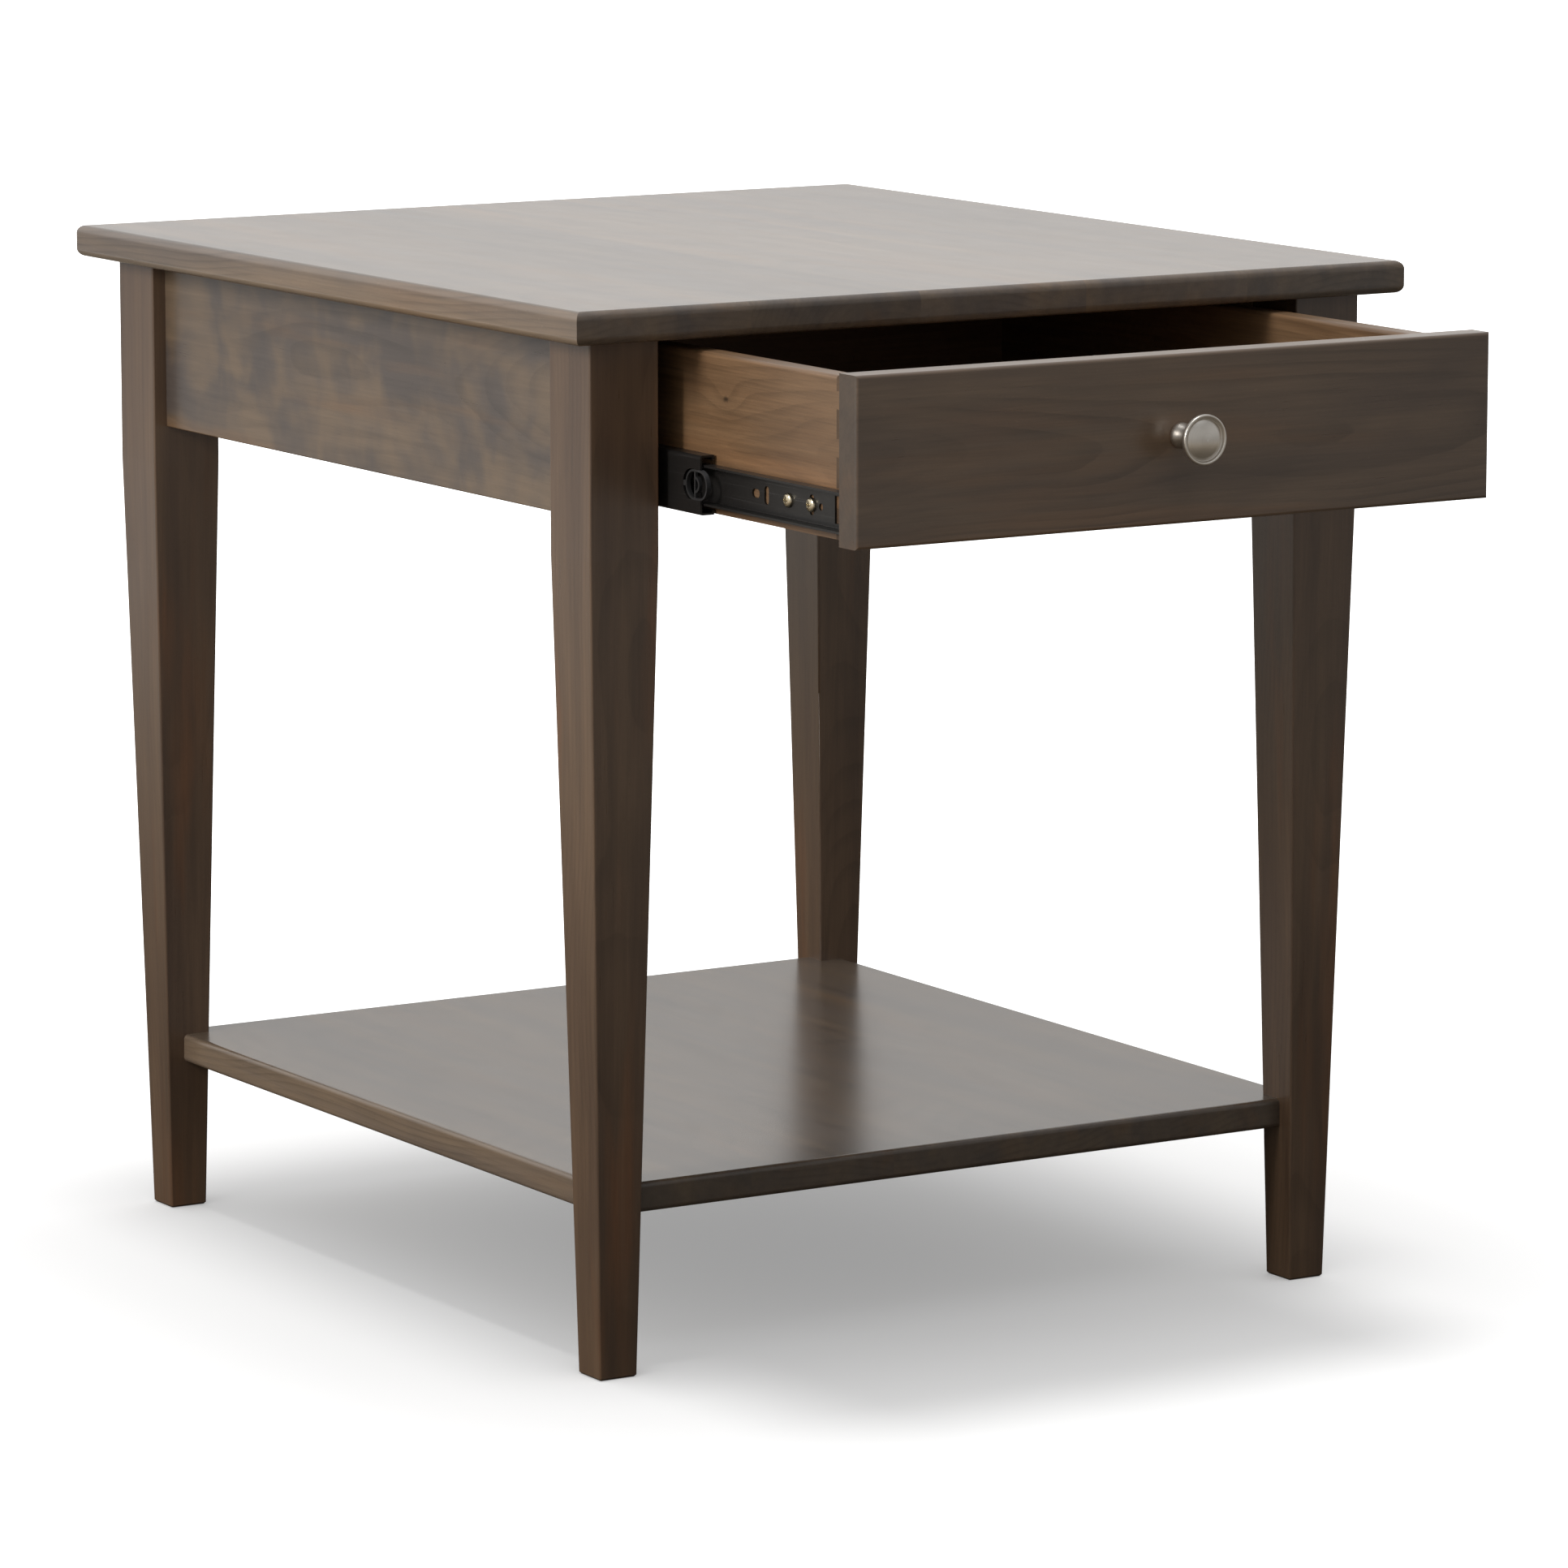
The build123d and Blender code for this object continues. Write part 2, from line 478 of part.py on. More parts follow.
parts["drawer_front"] = front
parts["drawer_box_front"] = sub
parts["drawer_side_left"] = sides[-1]
parts["drawer_side_right"] = sides[1]
parts["drawer_back"] = back
parts["drawer_bottom"] = bottom
parts["drawer_front_screws"] = group(*front_screws)
parts["knob"] = knob
parts["knob_screw"] = knob_screw

for side, f in (("left", lambda s: s), ("right", mir)):
    parts["slide_cabinet_member_" + side] = f(cab)
    parts["slide_middle_member_" + side] = f(mid)
    parts["slide_drawer_member_" + side] = f(drw)
    parts["slide_outer_cage_" + side] = f(oc)
    parts["slide_inner_cage_" + side] = f(ic)
    parts["slide_outer_balls_" + side] = group(*[f(b) for b in ob])
    parts["slide_inner_balls_" + side] = group(*[f(b) for b in ib])
    parts["slide_end_guide_" + side] = f(guide)
    parts["slide_release_lever_" + side] = f(lever)
    parts["slide_rear_stop_" + side] = f(stop)
parts["slide_cabinet_screws"] = group(*[f(s) for s in cab_screws for f in (lambda q: q, mir)])
parts["slide_drawer_screws"] = group(*[f(s) for s in drw_screws for f in (lambda q: q, mir)])

os.makedirs("parts", exist_ok=True)
for name, shape in parts.items():
    export_step(shape, "parts/" + name + ".step")
    print(name, len(shape.solids()), round(sum(s.volume for s in shape.solids()), 1))
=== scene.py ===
import json
from math import cos, pi, radians, sin

import bpy
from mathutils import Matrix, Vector

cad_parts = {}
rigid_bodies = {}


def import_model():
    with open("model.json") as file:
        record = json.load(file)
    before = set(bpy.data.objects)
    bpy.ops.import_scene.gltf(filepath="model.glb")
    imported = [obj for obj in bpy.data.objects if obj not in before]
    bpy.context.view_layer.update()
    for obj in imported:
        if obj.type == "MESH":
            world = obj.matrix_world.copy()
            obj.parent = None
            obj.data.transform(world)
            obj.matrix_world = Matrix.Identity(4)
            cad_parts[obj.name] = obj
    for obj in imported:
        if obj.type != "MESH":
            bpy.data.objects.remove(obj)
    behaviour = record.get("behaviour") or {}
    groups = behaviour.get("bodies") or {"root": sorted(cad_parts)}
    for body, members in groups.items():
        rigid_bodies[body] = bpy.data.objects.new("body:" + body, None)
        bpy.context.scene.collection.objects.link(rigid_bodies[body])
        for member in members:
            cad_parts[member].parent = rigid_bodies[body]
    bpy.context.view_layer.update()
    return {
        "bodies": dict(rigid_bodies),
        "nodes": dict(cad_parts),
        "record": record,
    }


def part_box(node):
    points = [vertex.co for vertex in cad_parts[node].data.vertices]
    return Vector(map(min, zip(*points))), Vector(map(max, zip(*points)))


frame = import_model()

nodes = frame["nodes"]
keep = set(nodes.values()) | set(frame["bodies"].values())
for o in list(bpy.data.objects):
    if o not in keep:
        bpy.data.objects.remove(o)
scene = bpy.context.scene


# ------------------------------------------------------------------ node tools
class Mat:
    """A node material with one Principled shader, and short calls for its nodes."""

    def __init__(self, name):
        self.m = bpy.data.materials.new(name)
        self.m.use_nodes = True
        self.t = self.m.node_tree
        self.t.nodes.clear()
        self.out = self.t.nodes.new("ShaderNodeOutputMaterial")
        self.b = self.t.nodes.new("ShaderNodeBsdfPrincipled")
        self.t.links.new(self.b.outputs[0], self.out.inputs[0])

    def put(self, socket, v):
        if isinstance(v, bpy.types.NodeSocket):
            self.t.links.new(v, socket)
        elif isinstance(v, (tuple, list)) and len(v) == 3 and len(socket.default_value) == 4:
            socket.default_value = (*v, 1.0)
        else:
            socket.default_value = v

    def node(self, kind, ins=(), **props):
        n = self.t.nodes.new(kind)
        for k, v in props.items():
            setattr(n, k, v)
        for k, v in dict(ins).items():
            self.put(n.inputs[k], v)
        return n

    def op(self, op, a, b=0.0, c=0.0, clamp=False):
        return self.node("ShaderNodeMath", {0: a, 1: b, 2: c}, operation=op, use_clamp=clamp).outputs[0]

    def add(self, a, b):
        return self.op("ADD", a, b)

    def mul(self, a, b):
        return self.op("MULTIPLY", a, b)

    def xyz(self, x, y, z):
        return self.node("ShaderNodeCombineXYZ", {0: x, 1: y, 2: z}).outputs[0]

    def step(self, x, a, b, lo=0.0, hi=1.0, smooth=True):
        return self.node("ShaderNodeMapRange", {"Value": x, "From Min": a, "From Max": b, "To Min": lo, "To Max": hi},
                         interpolation_type="SMOOTHSTEP" if smooth else "LINEAR").outputs[0]

    def noise(self, vec, scale=1.0, detail=2.0, rough=0.5, dist=0.0):
        return self.node("ShaderNodeTexNoise", {"Vector": vec, "Scale": scale, "Detail": detail, "Roughness": rough,
                                                "Distortion": dist}).outputs[0]

    def mix(self, f, a, b, blend="MIX"):
        n = self.node("ShaderNodeMix", data_type="RGBA", blend_type=blend)
        self.put(n.inputs[0], f)
        self.put(n.inputs[6], a)
        self.put(n.inputs[7], b)
        return n.outputs[2]

    def coords(self):
        """Object coordinates of the piece, which sits at the origin, as three values in metres."""
        tc = self.node("ShaderNodeTexCoord")
        s = self.node("ShaderNodeSeparateXYZ", {0: tc.outputs["Object"]})
        n = self.node("ShaderNodeSeparateXYZ", {0: tc.outputs["Normal"]})
        return s.outputs, n.outputs

    def bump(self, height, strength, distance):
        return self.node("ShaderNodeBump", {"Height": height, "Strength": strength, "Distance": distance}).outputs[0]


AX = {"X": 0, "Y": 1, "Z": 2}


def wood(name, node, grain, wide, pal, seed, stave=0.0, pitch=0.0042, heart=0.075, slope=0.03, blotch=0.6,
         line=0.35, fibre=0.16, rough=0.30, knot=None, end=0.45, band=26.0, tone=1.0, spec=0.5, ior=1.6, relief=0.15,
         uneven=0.10, across=15.0, pores=0.13, streaks=2.0, edge_painted_light=0.0, cu=9.0, cv=24.0,
         curl=0.55):
    """Solid wood: growth rings round a pith that lies behind the board, long fibres, cross-grain figure,
    pores and end grain. grain and wide are the board's long and wide axes."""
    m = Mat(name)
    lo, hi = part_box(node)
    c = (lo + hi) / 2
    p, nrm = m.coords()
    g, a = AX[grain], AX[wide]
    t = 3 - g - a
    u = m.add(p[g], -c[g] + seed * 1.731)
    v = m.add(p[a], -c[a])
    w = m.add(p[t], -c[t])
    shade = None
    if stave:
        n_st = max(1, round((hi[a] - lo[a]) / stave))
        width = (hi[a] - lo[a]) / n_st
        k = m.op("FLOOR", m.mul(m.add(v, (hi[a] - lo[a]) / 2), 1 / width))
        rnd = m.node("ShaderNodeTexWhiteNoise", {"W": m.add(k, seed)}, noise_dimensions="1D").outputs[0]
        u = m.add(u, m.mul(rnd, 9.0))
        v = m.add(v, m.add(m.mul(k, -width), (n_st - 1) * width / 2))
        v = m.add(v, m.mul(m.add(rnd, -0.5), width * 0.8))
        shade = m.step(rnd, 0, 1, 0.87, 1.11, False)
    # slow wander of the pith and of the ring lines
    wander = m.node("ShaderNodeTexNoise", {"Vector": m.xyz(m.mul(u, 1.9), m.mul(v, 3.0), seed), "Scale": 1.0,
                                           "Detail": 2.0}).outputs[1]
    ws = m.node("ShaderNodeSeparateXYZ", {0: wander}).outputs
    hv = m.mul(m.add(ws[0], -0.5), 0.09)
    hw = m.add(m.mul(m.add(ws[1], -0.5), 0.10), m.add(m.mul(u, slope), heart - seed * 1.731 * slope))
    if knot:
        ku, kv, kr = knot
        du = m.add(u, -(ku - c[g] + seed * 1.731))
        dv = m.add(v, -(kv - c[a]))
        d2 = m.add(m.mul(m.mul(du, du), 0.35), m.mul(dv, dv))
        kd = m.op("SQRT", d2)
        hw = m.add(hw, m.mul(m.op("EXPONENT", m.mul(d2, -1 / (kr * 6) ** 2)), kr * 3.2))
    dv2, dw2 = m.add(v, hv), m.add(w, hw)
    r = m.op("SQRT", m.add(m.mul(dv2, dv2), m.mul(dw2, dw2)))
    r = m.add(r, m.mul(m.noise(m.xyz(m.mul(u, 26), m.mul(v, 60), m.mul(w, 60)), 1, 2), 0.0011))
    r = m.add(r, m.mul(m.noise(m.xyz(m.mul(u, 3.2), m.mul(v, 20), m.mul(w, 20)), 1, 2), 0.0075))
    f = m.op("FRACT", m.mul(r, 1 / pitch))
    latewood = m.mul(m.step(f, 0.42, 0.94), m.step(f, 1.0, 0.955))
    early = m.step(m.noise(m.xyz(m.mul(u, 5), m.mul(v, 25), m.mul(w, 25)), 1, 2), 0.40, 0.64)
    latewood = m.mul(latewood, m.add(m.mul(early, 0.8), 0.2))
    # long fibres at two scales
    fib = m.noise(m.xyz(m.mul(u, 22), m.mul(v, 900), m.mul(w, 900)), 1, 3, 0.6)
    fib2 = m.noise(m.xyz(m.mul(u, 7), m.mul(v, 170), m.mul(w, 170)), 1, 3, 0.55)
    # figure across the grain and cloudy stain
    warp = m.mul(m.noise(m.xyz(m.mul(u, 9), m.mul(v, 9), m.mul(w, 9)), 1, 2), 0.07)
    cross = m.noise(m.xyz(m.mul(m.add(u, warp), band), m.mul(v, across), m.mul(w, across)), 1, 2, 0.55, 0.35)
    cloud = m.noise(m.xyz(m.mul(u, cu), m.mul(v, cv), m.mul(w, cv)), 1, 3, 0.55, 0.6)
    fig = m.add(m.mul(cross, curl), m.mul(cloud, 1 - curl))
    fig = m.step(fig, 0.5 - 0.13 / blotch, 0.5 + 0.13 / blotch)
    col = m.mix(fig, pal["dark"], pal["light"])
    warm = m.step(m.noise(m.xyz(m.mul(u, 3.2), m.mul(v, 34), m.mul(w, 34)), 1, 3, 0.55), 0.52, 0.72)
    col = m.mix(m.mul(warm, pal.get("warm_amt", 0.5)), col, pal["warm"])
    # one brightness factor for fibres, rings, pores, the end grain and the painted light on the side edges
    k1 = m.add(m.mul(m.add(fib, -0.5), fibre * 2.4), 1.0)
    k1 = m.mul(k1, m.add(m.mul(m.add(fib2, -0.5), fibre * streaks), 1.0))
    k1 = m.mul(k1, m.add(m.mul(latewood, -line), 1.0))
    pore = m.step(m.noise(m.xyz(m.mul(u, 260), m.mul(v, 1500), m.mul(w, 1500)), 1, 1), 0.66, 0.76)
    k1 = m.mul(k1, m.add(m.mul(pore, -pores), 1.0))
    ray = m.step(m.noise(m.xyz(m.mul(u, 260), m.mul(v, 620), m.add(m.mul(w, 620), 7.7)), 1, 1), 0.70, 0.80)
    k1 = m.mul(k1, m.add(m.mul(ray, 0.13), 1.0))
    endg = m.step(m.op("ABSOLUTE", nrm[g]), 0.55, 0.92)
    k1 = m.mul(k1, m.add(m.mul(endg, -end), 1.0))
    if edge_painted_light:      # painted light: faces whose normal runs along the board's width are made lighter, standing in for light falling on those side edges
        k1 = m.mul(k1, m.add(m.mul(m.step(m.op("ABSOLUTE", nrm[a]), 0.35, 0.85), edge_painted_light), 1.0))
    if shade is not None:
        k1 = m.mul(k1, shade)
    if knot:
        spot = m.step(m.add(kd, m.mul(m.noise(m.xyz(m.mul(u, 400), m.mul(v, 400), 0.3), 1, 2), kr * 1.1)), kr * 1.9, kr * 0.7)
        k1 = m.mul(k1, m.add(m.mul(spot, -0.72), 1.0))
    if tone != 1.0:
        k1 = m.mul(k1, tone)
    vec = m.node("ShaderNodeVectorMath", {0: col}, operation="SCALE")
    m.put(vec.inputs["Scale"], k1)
    m.put(m.b.inputs["Base Color"], vec.outputs[0])
    # satin lacquer: small uneven sheen, rougher on end grain
    sheen = m.noise(m.xyz(m.mul(u, 18), m.mul(v, 60), m.mul(w, 60)), 1, 3)
    ro = m.add(m.mul(m.add(sheen, -0.5), uneven), rough)
    ro = m.add(ro, m.mul(m.add(fib, -0.5), uneven * 0.6))
    ro = m.add(ro, m.mul(endg, 0.12))
    m.put(m.b.inputs["Roughness"], m.op("MINIMUM", ro, 0.9))
    m.b.inputs["IOR"].default_value = ior
    m.b.inputs["Specular IOR Level"].default_value = spec
    h = m.add(m.mul(fib, 0.55), m.mul(pore, -0.5))
    h = m.add(h, m.mul(latewood, -0.25))
    h = m.add(h, m.mul(m.noise(m.xyz(m.mul(u, 60), m.mul(v, 90), m.mul(w, 90)), 1, 2), 0.35))
    m.put(m.b.inputs["Normal"], m.bump(h, relief, 0.00022))
    return m.m


STAIN = {"dark": (0.064, 0.052, 0.046), "light": (0.124, 0.088, 0.057), "warm": (0.138, 0.078, 0.038), "warm_amt": 0.65}
FRONT = {"dark": (0.074, 0.051, 0.037), "light": (0.124, 0.083, 0.052), "warm": (0.142, 0.080, 0.042), "warm_amt": 0.6}
LEGS = {"dark": (0.066, 0.040, 0.026), "light": (0.104, 0.064, 0.038), "warm": (0.140, 0.058, 0.023), "warm_amt": 0.6}
DRAWER = {"dark": (0.098, 0.053, 0.026), "light": (0.172, 0.104, 0.055), "warm": (0.185, 0.093, 0.040), "warm_amt": 0.55}
PLAIN = {"dark": (0.42, 0.29, 0.165), "light": (0.56, 0.42, 0.26), "warm": (0.52, 0.36, 0.20), "warm_amt": 0.4}


def plywood(name, node):
    """Stained plywood: a rotary-cut face with wide soft figure, and glue lines on the edges."""
    m = Mat(name)
    lo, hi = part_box(node)
    p, nrm = m.coords()
    u, v, z = p[1], p[0], m.add(p[2], -lo[2])
    r = m.add(v, m.mul(m.noise(m.xyz(m.mul(u, 1.3), m.mul(v, 6), 0.4), 1, 3, 0.45, 0.3), 0.11))
    f = m.op("FRACT", m.mul(r, 1 / 0.0105))
    late = m.mul(m.step(f, 0.35, 0.92), m.step(f, 1.0, 0.93))
    fib = m.noise(m.xyz(m.mul(u, 26), m.mul(v, 800), 0.1), 1, 3, 0.6)
    cloud = m.step(m.noise(m.xyz(m.mul(u, 5), m.mul(v, 9), 0.2), 1, 3), 0.36, 0.66)
    col = m.mix(cloud, (0.135, 0.075, 0.034), (0.19, 0.115, 0.056))
    k = m.add(m.mul(m.add(fib, -0.5), 0.4), 1.0)
    k = m.mul(k, m.add(m.mul(late, -0.13), 1.0))
    ply = m.op("FRACT", m.mul(z, 1 / 0.00254))
    side = m.step(m.op("ABSOLUTE", nrm[2]), 0.7, 0.3)
    k = m.mul(k, m.add(m.mul(m.mul(side, m.step(ply, 0.5, 0.56)), -0.45), 1.0))
    vec = m.node("ShaderNodeVectorMath", {0: col}, operation="SCALE")
    m.put(vec.inputs["Scale"], k)
    m.put(m.b.inputs["Base Color"], vec.outputs[0])
    m.put(m.b.inputs["Roughness"], m.add(m.mul(cloud, 0.1), 0.36))
    m.b.inputs["IOR"].default_value = 1.48
    m.put(m.b.inputs["Normal"], m.bump(m.add(fib, m.mul(late, -0.3)), 0.22, 0.0003))
    return m.m


def metal(name, base, dark, rough, grain="Y", metallic=1.0, scratch=0.35, streak=60.0, spec=0.5, wear=None, peel=0.0,
          tarnish=0.5):
    """Metal with fine lines along one axis, cloudy tone, and worn streaks where something slides."""
    m = Mat(name)
    p, nrm = m.coords()
    s = [1500.0, 1500.0, 1500.0]
    s[AX[grain]] = streak
    fine = m.noise(m.xyz(m.mul(p[0], s[0]), m.mul(p[1], s[1]), m.mul(p[2], s[2])), 1, 2, 0.6)
    cloud = m.noise(m.xyz(m.mul(p[0], 70), m.mul(p[1], 70), m.mul(p[2], 70)), 1, 4, 0.6)
    spot = m.step(m.noise(m.xyz(m.mul(p[0], 420), m.mul(p[1], 420), m.mul(p[2], 420)), 1, 2), 0.62, 0.78)
    f = m.mul(m.step(cloud, 0.35, 0.7), tarnish)
    col = m.mix(f, base, dark)
    col = m.mix(m.mul(spot, 0.25 * tarnish), col, dark)
    ro = m.add(m.mul(m.add(cloud, -0.5), 0.22), rough)
    ro = m.add(ro, m.mul(m.add(fine, -0.5), scratch * 0.3))
    if wear:
        rub = m.step(m.noise(m.xyz(m.mul(p[0], 500), m.mul(p[1], 9), m.mul(p[2], 700)), 1, 2, 0.6), 0.60, 0.74)
        col = m.mix(m.mul(rub, wear[3]), col, wear[:3])
        ro = m.add(ro, m.mul(rub, -0.07))
    m.put(m.b.inputs["Base Color"], col)
    m.b.inputs["Metallic"].default_value = metallic
    m.b.inputs["IOR"].default_value = 1.5
    m.b.inputs["Specular IOR Level"].default_value = spec
    m.put(m.b.inputs["Roughness"], m.op("MAXIMUM", ro, 0.05))
    h = m.add(m.mul(fine, scratch), m.mul(m.noise(m.xyz(m.mul(p[0], 900), m.mul(p[1], 900), m.mul(p[2], 900)), 1, 2), peel))
    m.put(m.b.inputs["Normal"], m.bump(h, 0.20, 0.00012))
    return m.m


def nickel(name, node):
    """Satin nickel turned on a lathe: fine rings round the knob's axis, which runs along Y."""
    m = Mat(name)
    lo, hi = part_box(node)
    c = (lo + hi) / 2
    p, nrm = m.coords()
    x, y, z = m.add(p[0], -c[0]), m.add(p[1], -c[1]), m.add(p[2], -c[2])
    r = m.op("SQRT", m.add(m.mul(x, x), m.mul(z, z)))
    ring = m.noise(m.xyz(m.mul(r, 3000), m.mul(y, 3000), 0.6), 1, 2, 0.5)
    cloud = m.noise(m.xyz(m.mul(x, 160), m.mul(y, 160), m.mul(z, 160)), 1, 3)
    deep = m.step(m.noise(m.xyz(m.mul(x, 60), m.mul(y, 60), m.mul(z, 60)), 1, 2), 0.3, 0.75)
    col = m.mix(deep, (0.60, 0.565, 0.515), (0.70, 0.665, 0.615))
    col = m.mix(m.mul(m.step(ring, 0.5, 0.8), 0.18), col, (0.42, 0.39, 0.35))
    m.put(m.b.inputs["Base Color"], col)
    m.b.inputs["Metallic"].default_value = 1.0
    m.put(m.b.inputs["Roughness"], m.add(m.mul(m.add(cloud, -0.5), 0.10), m.add(m.mul(ring, 0.08), 0.29)))
    m.put(m.b.inputs["Normal"], m.bump(ring, 0.06, 0.00006))
    return m.m


def plastic(name, base=(0.017, 0.017, 0.018)):
    """Moulded black plastic with a fine spark-eroded texture and lighter rubbed spots."""
    m = Mat(name)
    p, nrm = m.coords()
    fine = m.noise(m.xyz(m.mul(p[0], 2400), m.mul(p[1], 2400), m.mul(p[2], 2400)), 1, 2, 0.6)
    cloud = m.noise(m.xyz(m.mul(p[0], 130), m.mul(p[1], 130), m.mul(p[2], 130)), 1, 3)
    rub = m.step(cloud, 0.52, 0.72)
    m.put(m.b.inputs["Base Color"], m.mix(rub, base, tuple(b * 1.9 for b in base)))
    m.b.inputs["IOR"].default_value = 1.52
    m.put(m.b.inputs["Roughness"], m.add(m.mul(rub, -0.10), m.add(m.mul(fine, 0.16), 0.36)))
    m.put(m.b.inputs["Normal"], m.bump(fine, 0.35, 0.00010))
    return m.m


# ------------------------------------------------------------------ one finish for each node
def dress(node, material):
    o = nodes[node]
    o.data.materials.clear()
    o.data.materials.append(material)
    for f in o.data.polygons:
        f.material_index = 0


# tabletop and shelf: their side edges are painted lighter, painted light standing in for the light on them
FLAT = dict(pal=dict(STAIN, warm_amt=0.35), blotch=0.42, line=0.19, rough=0.24, relief=0.045, uneven=0.035, edge_painted_light=0.42, cu=2.0, cv=38.0,
            curl=0.18, streaks=3.2, slope=0.05)
RAIL = dict(wide="Z", pal=STAIN, blotch=0.98, line=0.17, heart=0.06, across=19.0, fibre=0.19)
LEG = dict(grain="Z", wide="X", pal=LEGS, blotch=0.6, line=0.15, band=9.0, across=26.0, streaks=3.0, fibre=0.18,
           cu=3.0, cv=60.0, curl=0.3)
BOXW = dict(wide="Z", pal=DRAWER, blotch=0.5, cu=5.0, cv=40.0, curl=0.4, line=0.16, band=13.0, rough=0.38, end=0.5, ior=1.5, fibre=0.32, relief=0.25)
RAW = dict(pal=PLAIN, blotch=0.4, line=0.2, rough=0.52, end=0.25, ior=1.45)
WOODS = {
    "tabletop": dict(FLAT, grain="Y", wide="X", seed=1.3, stave=0.112, end=0.12),
    "shelf": dict(FLAT, grain="Y", wide="X", seed=2.6, stave=0.097, end=0.30),
    "apron_left": dict(RAIL, grain="Y", seed=4.1, band=30.0, slope=0.05),
    "apron_right": dict(RAIL, grain="Y", seed=5.2, band=30.0, slope=0.04),
    "apron_back": dict(RAIL, grain="X", seed=6.7, band=28.0, slope=-0.04),
    "drawer_front": dict(grain="X", wide="Z", pal=FRONT, seed=7.9, blotch=0.62, line=0.28, band=9.0, cu=3.5,
                         cv=30.0, curl=0.4, streaks=2.8, heart=0.055, slope=0.06),
    "leg_front_left": dict(LEG, seed=9.1, heart=0.09, slope=0.02),
    "leg_front_right": dict(LEG, seed=10.4, heart=0.08, slope=0.03),
    "leg_back_left": dict(LEG, seed=11.8, heart=0.07, slope=-0.02),
    "leg_back_right": dict(LEG, seed=12.2, heart=0.08, slope=0.02),
    "drawer_side_left": dict(BOXW, grain="Y", seed=14.3, slope=0.05, knot=(-0.3302, 0.5597, 0.0019)),
    "drawer_side_right": dict(BOXW, grain="Y", seed=15.6, slope=-0.05),
    "drawer_back": dict(BOXW, grain="X", seed=16.9),
    "drawer_box_front": dict(BOXW, grain="X", seed=17.7),
    "slide_cleat_left": dict(RAW, grain="Y", wide="Z", seed=18.1),
    "slide_cleat_right": dict(RAW, grain="Y", wide="Z", seed=19.3),
    "top_cleat_left": dict(RAW, grain="Y", wide="X", seed=20.2),
    "top_cleat_right": dict(RAW, grain="Y", wide="X", seed=21.7),
    "corner_blocks": dict(RAW, grain="Z", wide="X", seed=22.5),
    "shelf_dowels": dict(RAW, grain="Y", wide="X", seed=23.4),
}
for n, k in WOODS.items():
    dress(n, wood("wood_" + n, n, **k))
dress("drawer_bottom", plywood("plywood_drawer_bottom", "drawer_bottom"))
dress("knob", nickel("satin_nickel_knob", "knob"))

steel = metal("black_steel", (0.0095, 0.0088, 0.0085), (0.005, 0.0047, 0.0045), 0.34, metallic=0.0, scratch=0.16, streak=22.0,
              spec=0.42, wear=(0.07, 0.069, 0.07, 0.22), peel=0.5)
cage = metal("cage_steel", (0.46, 0.46, 0.47), (0.30, 0.30, 0.31), 0.30, scratch=0.5, streak=40.0)
zinc = metal("zinc_steel", (0.66, 0.59, 0.44), (0.47, 0.40, 0.28), 0.27, scratch=0.3, streak=900.0)
balls = metal("ball_steel", (0.62, 0.62, 0.63), (0.48, 0.48, 0.49), 0.14, scratch=0.15, streak=1500.0, tarnish=0.3)
black = plastic("black_plastic")
slots = {s["node"]: s["material_slot"] for s in frame["record"]["subparts"]}
for n in nodes:
    if n in WOODS or n in ("drawer_bottom", "knob"):
        continue
    if "cage" in n:
        dress(n, cage)
    elif slots.get(n) == "black_steel":
        dress(n, steel)
    elif slots.get(n) == "ball_steel":
        dress(n, balls)
    elif slots.get(n) == "black_plastic":
        dress(n, black)
    else:
        dress(n, zinc)


# ------------------------------------------------------------------ stage, lights and camera
def ring_mesh(name, radius, z0, z1, segs=96):
    verts, faces = [], []
    for i in range(segs):
        a = 2 * pi * i / segs
        verts += [(radius * cos(a), radius * sin(a), z0), (radius * cos(a), radius * sin(a), z1)]
    for i in range(segs):
        j = (i + 1) % segs
        faces.append((2 * i, 2 * j, 2 * j + 1, 2 * i + 1))
    me = bpy.data.meshes.new(name)
    me.from_pydata(verts, [], faces)
    o = bpy.data.objects.new(name, me)
    scene.collection.objects.link(o)
    return o


# floor: a pale disc that glows with painted light: a weak glow under and round the table lifts its shadow, and the glow
# grows far from the table so that the floor runs into the background
def disc(name, z):
    seg = 128
    me = bpy.data.meshes.new(name)
    me.from_pydata([(30 * cos(2 * pi * i / seg), 30 * sin(2 * pi * i / seg), z) for i in range(seg)], [], [list(range(seg))])
    o = bpy.data.objects.new(name, me)
    scene.collection.objects.link(o)
    return o


floor = disc("floor", -0.0002)
F = Mat("pale_floor")
fp, _ = F.coords()
xx, yy = F.mul(fp[0], fp[0]), F.mul(fp[1], fp[1])
off = F.op("SQRT", F.op("SQRT", F.add(F.mul(xx, xx), F.mul(yy, yy))))   # rounded-square distance
seen = F.node("ShaderNodeBsdfDiffuse", {"Color": (0.66, 0.66, 0.66)})
# painted light: the floor glows, weakly round the table and strongly far from it
painted_glow = F.node("ShaderNodeEmission", {"Color": (1, 1, 1), "Strength": F.step(off, 0.30, 1.15, 0.30, 1.2)})
look = F.node("ShaderNodeAddShader")
F.t.links.new(seen.outputs[0], look.inputs[0])
F.t.links.new(painted_glow.outputs[0], look.inputs[1])
F.t.links.new(look.outputs[0], F.out.inputs[0])
F.t.nodes.remove(F.b)
floor.data.materials.append(F.m)
floor.visible_diffuse = floor.visible_glossy = floor.visible_transmission = floor.visible_shadow = False

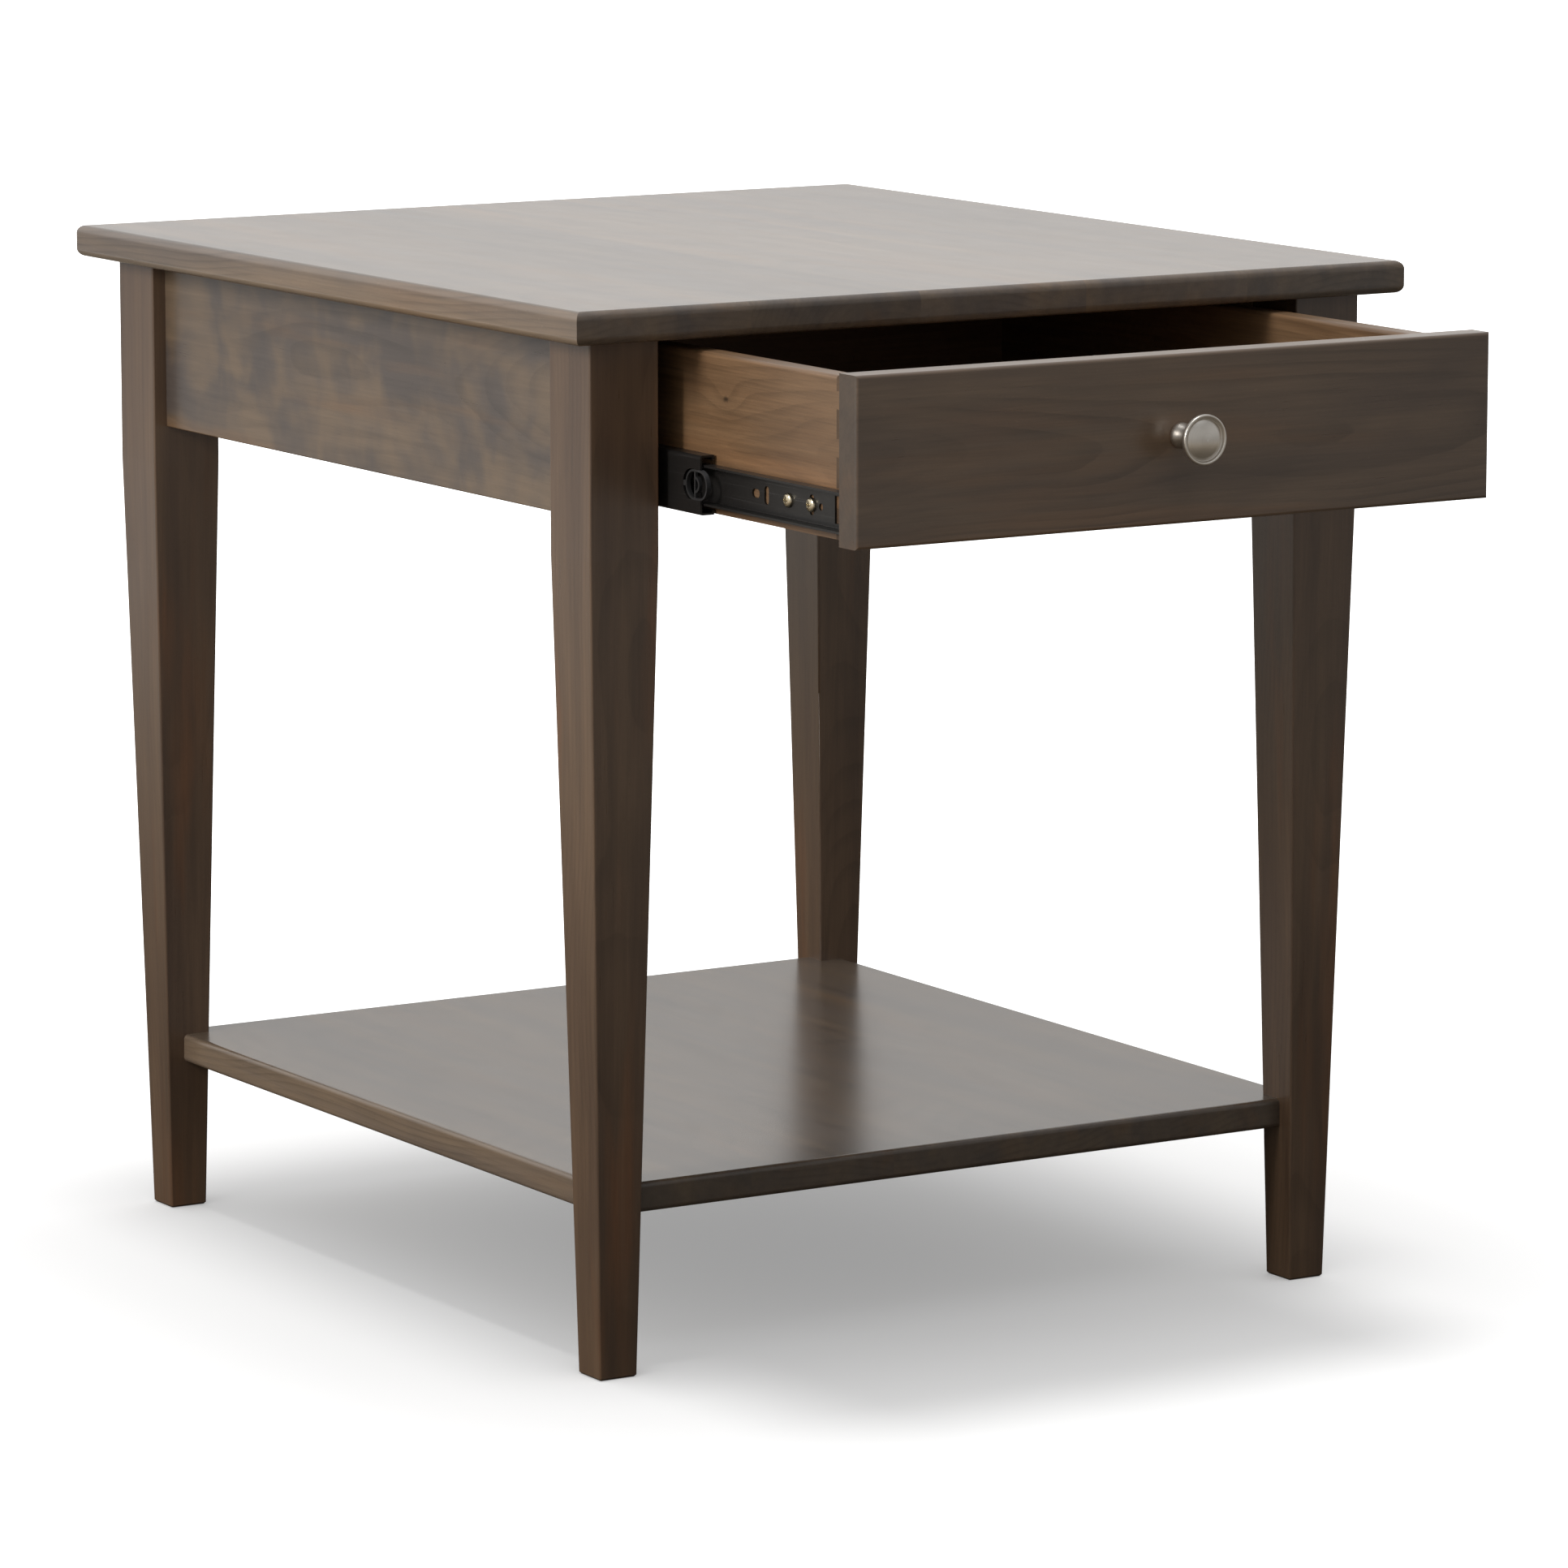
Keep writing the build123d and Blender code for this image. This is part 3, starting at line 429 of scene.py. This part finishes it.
# what the table is lit by and mirrors from below: darker and warmer near the table
bounce = disc("floor_bounce", -0.0004)
G = Mat("floor_bounce")
fp, _ = G.coords()
rad = G.op("SQRT", G.add(G.mul(fp[0], fp[0]), G.mul(fp[1], fp[1])))
ang = G.mul(G.op("ARCTAN2", fp[1], fp[0]), 180 / pi)
deg = G.op("MODULO", G.add(ang, 450.0), 360.0)   # 0 at the front, 90 right, 180 back, 270 left
az = G.mul(G.step(deg, 62, 128), G.step(deg, 345, 285))
grey = G.add(G.step(rad, 0.8, 2.8, 0.09, 0.42), G.mul(az, G.step(rad, 2.1, 3.3, 0.02, 0.60)))
soft = G.node("ShaderNodeBsdfDiffuse", {"Color": G.xyz(grey, G.mul(grey, G.step(rad, 2.1, 3.1, 0.87, 0.985)),
                                                       G.mul(grey, G.step(rad, 2.1, 3.1, 0.70, 0.965)))})
G.t.links.new(soft.outputs[0], G.out.inputs[0])
G.t.nodes.remove(G.b)
bounce.data.materials.append(G.m)
bounce.visible_camera = False

# studio wall of light round the set, brighter with height, bright at the left and back
wall = ring_mesh("studio_wall", 3.4, 0.0, 3.6)
B = Mat("studio_wall")
bp, _ = B.coords()
ang = B.op("ARCTAN2", bp[1], bp[0])          # 0 at +X, 90 degrees at the back, 180 at the left
deg = B.mul(ang, 180 / pi)
deg = B.op("MODULO", B.add(deg, 450.0), 360.0)   # 0 at the front, 90 right, 180 back, 270 left
az = B.mul(B.step(deg, 62, 128), B.step(deg, 345, 285))
fall = B.step(bp[2], 1.6, 3.4, 1.0, 0.6)
rise = B.step(bp[2], 0.42, 1.20, 0.26, 1.0)
side = B.add(B.mul(B.mul(az, 0.64), rise), B.mul(B.step(bp[2], 0.0, 0.9, 0.62, 1.0), 0.46))
B.em = B.node("ShaderNodeEmission", {"Color": (1.0, 0.985, 0.965), "Strength": B.mul(side, fall)})
B.t.links.new(B.em.outputs[0], B.out.inputs[0])
B.t.nodes.remove(B.b)
wall.data.materials.append(B.m)
wall.visible_camera = False

world = bpy.data.worlds.new("studio")
scene.world = world
world.use_nodes = True
wt = world.node_tree
wt.nodes.clear()
wo = wt.nodes.new("ShaderNodeOutputWorld")
wl = wt.nodes.new("ShaderNodeLightPath")
wa = wt.nodes.new("ShaderNodeBackground")
wa.inputs[0].default_value = (0.97, 0.98, 1.0, 1)
wa.inputs[1].default_value = 0.85
wb = wt.nodes.new("ShaderNodeBackground")
wb.inputs[0].default_value = (1, 1, 1, 1)
wb.inputs[1].default_value = 1.05
wm = wt.nodes.new("ShaderNodeMixShader")
wt.links.new(wl.outputs["Is Camera Ray"], wm.inputs[0])
wt.links.new(wa.outputs[0], wm.inputs[1])
wt.links.new(wb.outputs[0], wm.inputs[2])
wt.links.new(wm.outputs[0], wo.inputs[0])


def area(name, at, look_at, sx, sy, power, color=(1, 1, 1)):
    li = bpy.data.lights.new(name, "AREA")
    li.shape = "RECTANGLE"
    li.size, li.size_y, li.energy, li.color = sx, sy, power, color
    o = bpy.data.objects.new(name, li)
    scene.collection.objects.link(o)
    o.location = at
    o.rotation_mode = "QUATERNION"
    o.rotation_quaternion = (Vector(look_at) - Vector(at)).to_track_quat("-Z", "Y")
    o.visible_camera = False
    return o


key = area("key_left", (-2.45, -0.35, 1.50), (0, -0.05, 0.50), 0.5, 0.9, 46.0, (1.0, 0.955, 0.90))
unlit = bpy.data.collections.new("not_lit_by_key")
unlit.objects.link(floor)
key.light_linking.receiver_collection = unlit
unlit.collection_objects[0].light_linking.link_state = "EXCLUDE"
sun = bpy.data.lights.new("overhead", "SUN")
sun.energy, sun.angle, sun.color = pi * 0.42, radians(13), (1.0, 0.995, 0.985)
so = bpy.data.objects.new("overhead", sun)
scene.collection.objects.link(so)
so.rotation_mode = "QUATERNION"
so.rotation_quaternion = Vector((0.03, 0.05, -1)).to_track_quat("-Z", "Y")

cam = bpy.data.cameras.new("camera")
cam.sensor_width, cam.lens = 36.0, 36.0 * 9483.57 / 1932
cam.clip_start, cam.clip_end = 0.1, 100.0
co = bpy.data.objects.new("camera", cam)
scene.collection.objects.link(co)
co.location = (-2.38364, -3.92880, 1.04670)
az_, el_ = radians(31.69), radians(9.46)
co.rotation_mode = "QUATERNION"
co.rotation_quaternion = Vector((sin(az_) * cos(el_), cos(az_) * cos(el_), -sin(el_))).to_track_quat("-Z", "Y")
scene.camera = co
scene.view_settings.view_transform = "Standard"
scene.view_settings.look = "None"
